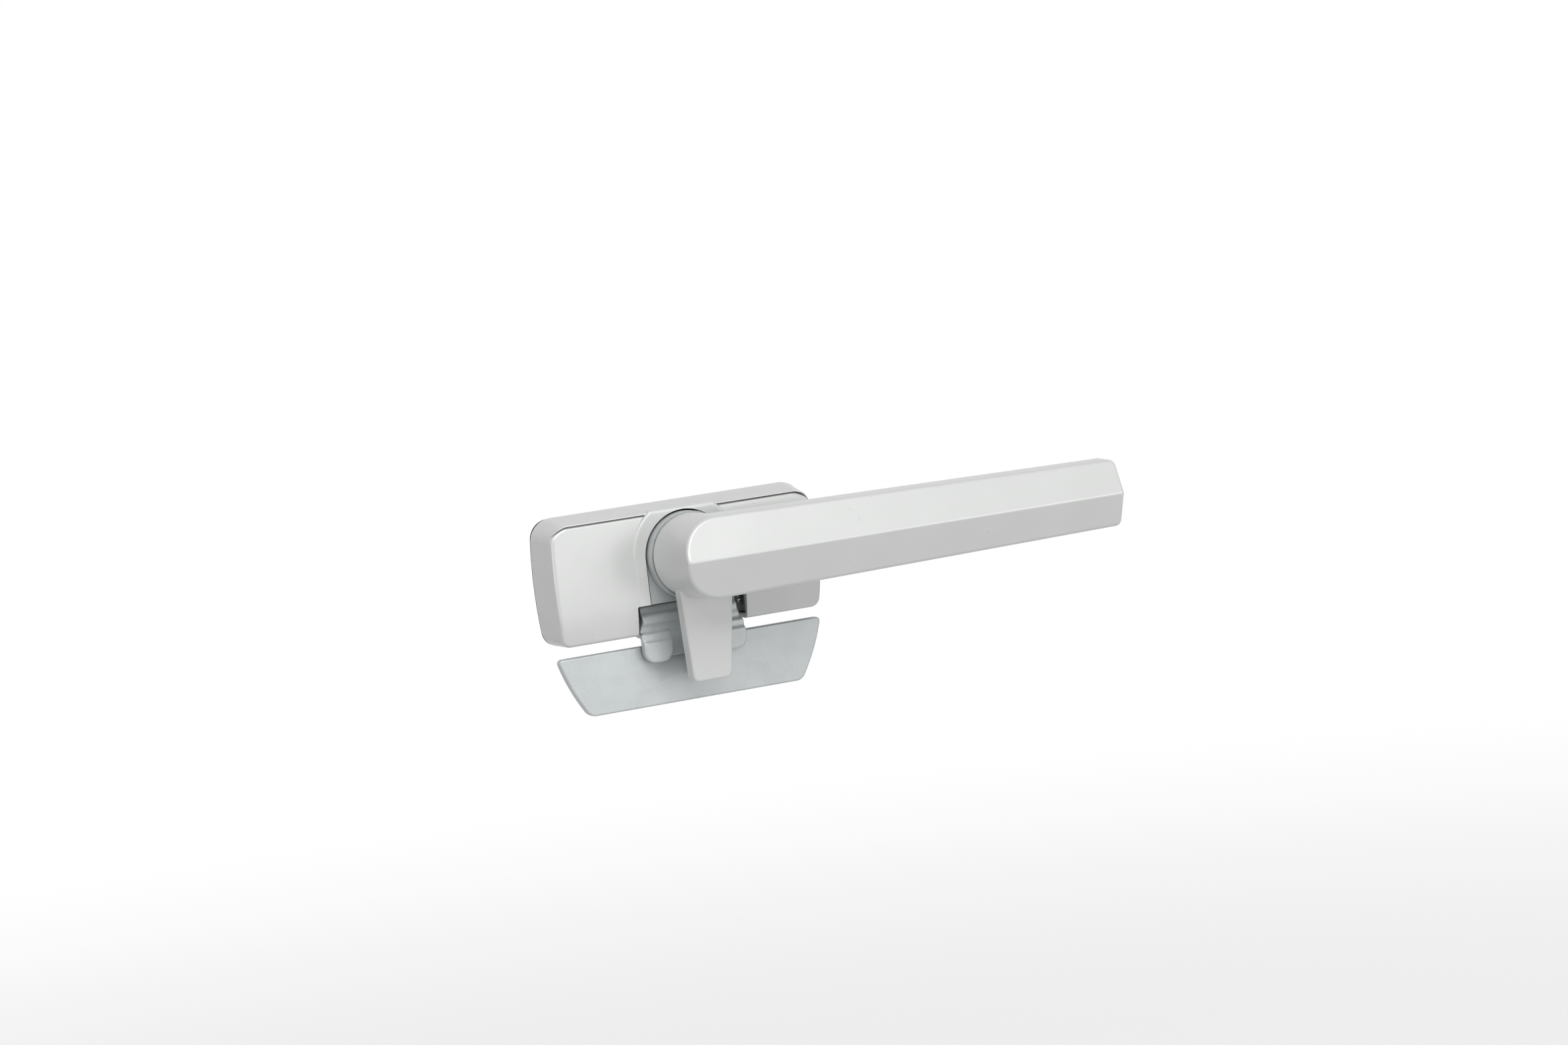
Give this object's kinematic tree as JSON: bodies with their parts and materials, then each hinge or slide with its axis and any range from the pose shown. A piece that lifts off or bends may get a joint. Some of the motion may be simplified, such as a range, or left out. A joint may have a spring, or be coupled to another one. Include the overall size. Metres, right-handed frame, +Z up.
{
  "type": "window fastener",
  "caption": "Lever window fastener: a silver handle with a tongue turns on a tapered base, drives a sprung forked bolt by a crank, and locks on a trapezoid keeper plate.",
  "frame": {"origin": "spindle axis at the plane where the base and the keeper sit on the window profile", "axes": "X along the profile towards the lever's tip, Z up away from the keeper, -Y out towards the room; drawn closed"},
  "size_m": [0.1709, 0.0504, 0.0567],
  "materials": {
    "silver_paint": "satin silver paint on a casting",
    "bare_zinc": "raw zinc die casting, dull",
    "zinc_plated_steel": "bright zinc plated",
    "black_seal": "matte foam rubber",
    "bearing_bronze": "sintered bronze",
    "acetal": "black acetal",
    "dark_nylon": "dark grey nylon",
    "black_oxide": "black oxide",
    "hardened_steel": "ground and polished",
    "spring_steel": "drawn wire, bright"
  },
  "bodies": {
    "root": {"cover": "silver_paint", "chassis": "bare_zinc", "base_gasket": "black_seal", "back_plate": "zinc_plated_steel", "back_plate_screws": "zinc_plated_steel", "sash_screws": "zinc_plated_steel", "spindle_bush": "bearing_bronze", "neck_washer": "acetal", "wave_washer": "spring_steel", "detent_ball": "hardened_steel", "detent_spring": "spring_steel", "detent_plug": "zinc_plated_steel", "bolt_springs": "spring_steel", "keeper": "bare_zinc", "keeper_base": "zinc_plated_steel", "keeper_packer": "dark_nylon", "keeper_screws": "zinc_plated_steel", "keeper_grub_screws": "black_oxide"},
    "handle": {"handle": "silver_paint", "tongue_pad": "acetal", "spindle": "zinc_plated_steel", "crank": "zinc_plated_steel", "drive_pin": "hardened_steel", "crank_screw": "zinc_plated_steel"},
    "bolt": {"slide_bolt": "bare_zinc"}
  },
  "joints": [
    {"name": "handle_turn", "type": "hinge", "parent": "root", "child": "handle", "pos_m": [0, 0, 0], "axis": [0, -1, 0], "range_deg": [0, 90]},
    {"name": "bolt_slide", "type": "slide", "parent": "root", "child": "bolt", "axis": [0, 0, 1], "range_m": [0, 0.0071], "stiffness_N_per_m": 150, "springref_m": -0.004, "deforming": ["bolt_springs"]}
  ],
  "couplings": [
    {"joint": "bolt_slide", "follows": "handle_turn", "m_per_rad": 0.0044563}
  ]
}
